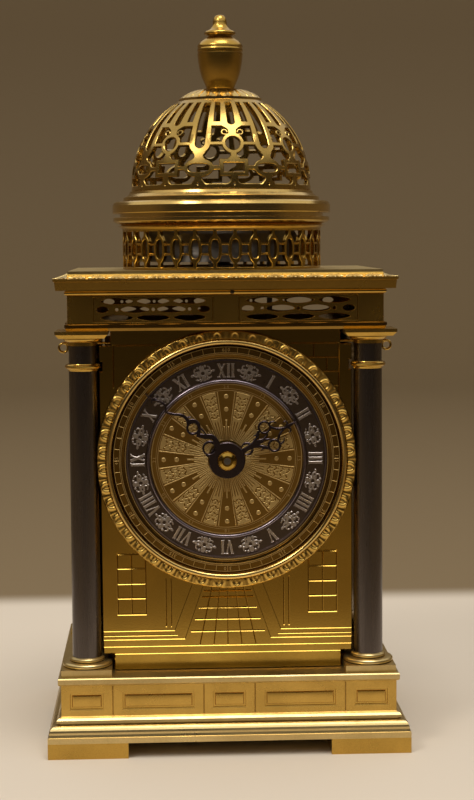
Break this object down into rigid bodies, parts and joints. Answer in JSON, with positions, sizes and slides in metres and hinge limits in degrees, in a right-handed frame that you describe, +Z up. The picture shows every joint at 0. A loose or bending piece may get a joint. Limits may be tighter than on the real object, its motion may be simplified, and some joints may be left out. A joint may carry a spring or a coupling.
{
  "type": "table clock",
  "caption": "Gilt brass table clock: four columns carry a pierced frieze and a domed bell housing over a round dial with two hands.",
  "frame": {"origin": "centre of the rectangle on the floor that the four feet stand on", "axes": "+Z up, -Y towards the dial, +X to the right seen from the dial side"},
  "size_m": [0.16, 0.12, 0.3283],
  "materials": {
    "gilt_brass": "satin gilding, worn at the edges",
    "gilt_trim": "polished gilding",
    "dark_steel": "browned, semi-gloss",
    "silvered_ring": "toned silvering, satin",
    "bright_steel": "filed bright",
    "bell_metal": "dark cast bell metal",
    "train_brass": "filed brass"
  },
  "bodies": {
    "case": {"corner_feet": "gilt_brass", "base_moulding": "gilt_trim", "base_floor": "gilt_brass", "base_dado": "gilt_brass", "base_ledge": "gilt_trim", "column_bases": "gilt_trim", "column_shafts": "dark_steel", "column_astragals": "gilt_trim", "column_capitals": "gilt_trim", "tie_rods": "dark_steel", "tie_nuts": "dark_steel", "architrave": "gilt_brass", "frieze": "gilt_brass", "cornice": "gilt_trim", "top_plate": "gilt_trim", "drum": "gilt_brass", "drum_cornice": "gilt_trim", "front_plate": "gilt_brass", "back_plate": "gilt_brass", "dial_bezel": "gilt_trim", "minute_ring": "gilt_trim", "chapter_ring": "silvered_ring", "centre_plate": "gilt_brass", "train_front_plate": "train_brass", "train_back_plate": "train_brass", "train_pillars": "train_brass", "verge_cocks": "train_brass", "crown_potence": "train_brass", "bell_stand": "dark_steel", "bell": "bell_metal", "bell_nut": "bright_steel"},
    "left_door": {"left_door": "gilt_brass"},
    "right_door": {"right_door": "gilt_brass"},
    "left_lock": {"left_lock_pin": "bright_steel"},
    "right_lock": {"right_lock_pin": "bright_steel"},
    "dome": {"dome_ring": "gilt_trim", "dome_shell": "gilt_brass", "dome_cap": "gilt_trim", "finial": "gilt_brass"},
    "minute": {"minute_hand": "dark_steel", "hand_nut": "gilt_trim", "centre_arbor": "bright_steel", "centre_wheel": "train_brass", "cannon_pinion": "bright_steel"},
    "hour": {"hour_hand": "dark_steel", "hour_wheel": "train_brass"},
    "minute_wheel": {"minute_wheel": "train_brass"},
    "going_barrel": {"going_barrel": "train_brass"},
    "going_winder": {"going_winder": "bright_steel"},
    "third_wheel": {"third_wheel": "train_brass"},
    "crown_wheel": {"crown_wheel": "train_brass"},
    "balance": {"balance": "train_brass"},
    "strike_barrel": {"strike_barrel": "train_brass"},
    "strike_winder": {"strike_winder": "bright_steel"},
    "pin_wheel": {"pin_wheel": "train_brass"},
    "fly": {"fly": "bright_steel"},
    "hammer": {"hammer": "bright_steel"}
  },
  "joints": [
    {"name": "right_door_hinge", "type": "hinge", "parent": "case", "child": "right_door", "pos_m": [0.0613, 0.0283, 0.038], "axis": [0, 0, 1], "range_deg": [0, 90]},
    {"name": "left_door_hinge", "type": "hinge", "parent": "case", "child": "left_door", "pos_m": [-0.0613, 0.0283, 0.038], "axis": [0, 0, -1], "range_deg": [0, 90]},
    {"name": "right_lock_slide", "type": "slide", "parent": "case", "child": "right_lock", "axis": [1, 0, 0], "range_m": [0, 0.012]},
    {"name": "left_lock_slide", "type": "slide", "parent": "case", "child": "left_lock", "axis": [-1, 0, 0], "range_m": [0, 0.012]},
    {"name": "dome_lift", "type": "slide", "parent": "case", "child": "dome", "axis": [0, 0, 1], "range_m": [0, 0.06]},
    {"name": "minute_turn", "type": "hinge", "parent": "case", "child": "minute", "pos_m": [0, 0, 0.1295], "axis": [0, 1, 0], "continuous": true},
    {"name": "hour_turn", "type": "hinge", "parent": "case", "child": "hour", "pos_m": [0, 0, 0.1295], "axis": [0, 1, 0], "continuous": true},
    {"name": "minute_wheel_turn", "type": "hinge", "parent": "case", "child": "minute_wheel", "pos_m": [0.018, 0, 0.1295], "axis": [0, 1, 0], "continuous": true},
    {"name": "going_barrel_turn", "type": "hinge", "parent": "case", "child": "going_barrel", "pos_m": [-0.02792, 0, 0.11648], "axis": [0, 1, 0], "continuous": true},
    {"name": "going_winder_turn", "type": "hinge", "parent": "case", "child": "going_winder", "pos_m": [-0.02792, 0, 0.11648], "axis": [0, 1, 0], "range_deg": [0, 1440]},
    {"name": "third_wheel_turn", "type": "hinge", "parent": "case", "child": "third_wheel", "pos_m": [-0.01208, 0, 0.14741], "axis": [0, 1, 0], "continuous": true},
    {"name": "crown_wheel_turn", "type": "hinge", "parent": "case", "child": "crown_wheel", "pos_m": [0, 0, 0.15908], "axis": [0, 1, 0], "continuous": true},
    {"name": "balance_swing", "type": "hinge", "parent": "case", "child": "balance", "pos_m": [0, 0.0065, 0.159], "axis": [0, 0, 1], "range_deg": [-40, 40]},
    {"name": "pin_wheel_turn", "type": "hinge", "parent": "case", "child": "pin_wheel", "pos_m": [0.03589, 0, 0.14624], "axis": [0, 1, 0], "continuous": true},
    {"name": "strike_barrel_turn", "type": "hinge", "parent": "case", "child": "strike_barrel", "pos_m": [0.02792, 0, 0.11648], "axis": [0, 1, 0], "continuous": true},
    {"name": "strike_winder_turn", "type": "hinge", "parent": "case", "child": "strike_winder", "pos_m": [0.02792, 0, 0.11648], "axis": [0, 1, 0], "range_deg": [0, 1440]},
    {"name": "fly_turn", "type": "hinge", "parent": "case", "child": "fly", "pos_m": [0.04164, 0, 0.16202], "axis": [0, 1, 0], "continuous": true},
    {"name": "hammer_swing", "type": "hinge", "parent": "case", "child": "hammer", "pos_m": [0.022, 0, 0.171], "axis": [0, 1, 0], "range_deg": [-12, 0], "stiffness_Nm_per_rad": 0.02, "springref_deg": 5.73}
  ],
  "couplings": [
    {"joint": "hour_turn", "follows": "minute_turn", "ratio": 0.083333},
    {"joint": "minute_wheel_turn", "follows": "minute_turn", "ratio": -0.33333},
    {"joint": "going_barrel_turn", "follows": "minute_turn", "ratio": -0.16667},
    {"joint": "third_wheel_turn", "follows": "minute_turn", "ratio": -5},
    {"joint": "crown_wheel_turn", "follows": "minute_turn", "ratio": 30},
    {"joint": "strike_barrel_turn", "follows": "pin_wheel_turn", "ratio": -0.16667},
    {"joint": "fly_turn", "follows": "pin_wheel_turn", "ratio": -6}
  ]
}
